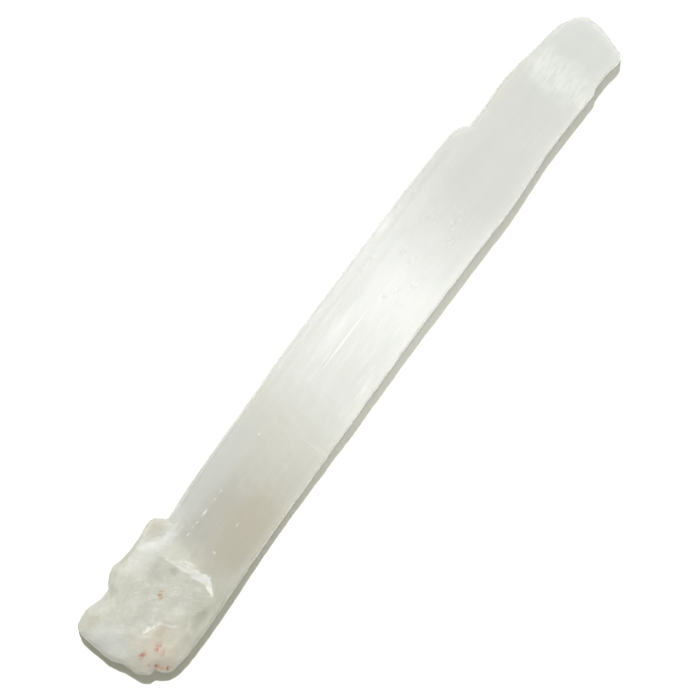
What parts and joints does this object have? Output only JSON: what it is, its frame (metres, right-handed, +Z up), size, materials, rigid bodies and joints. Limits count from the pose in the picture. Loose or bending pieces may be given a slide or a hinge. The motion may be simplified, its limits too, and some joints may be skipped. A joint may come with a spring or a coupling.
{
  "type": "raw selenite stick",
  "caption": "Long raw stick of fibrous selenite, lying flat: a satin white blade with a bevelled side, a ledge and a blunt broken tip, grown from a lumpy, hollowed root.",
  "frame": {"origin": "under the middle of the stick's box, on the surface that it rests on", "axes": "+X along the stick from the lumpy root to the blunt tip, +Z up from the flat underside to the top face, +Y to the left side when looking from the root to the tip, the side with the ledge"},
  "size_m": [0.2, 0.0287, 0.0139],
  "materials": {
    "selenite": "satin, milky and a little see-through, with fine lengthwise fibres, frosted white breaks and a few rust-red specks at the root"
  },
  "bodies": {
    "root": {"selenite_stick": "selenite"}
  },
  "joints": []
}
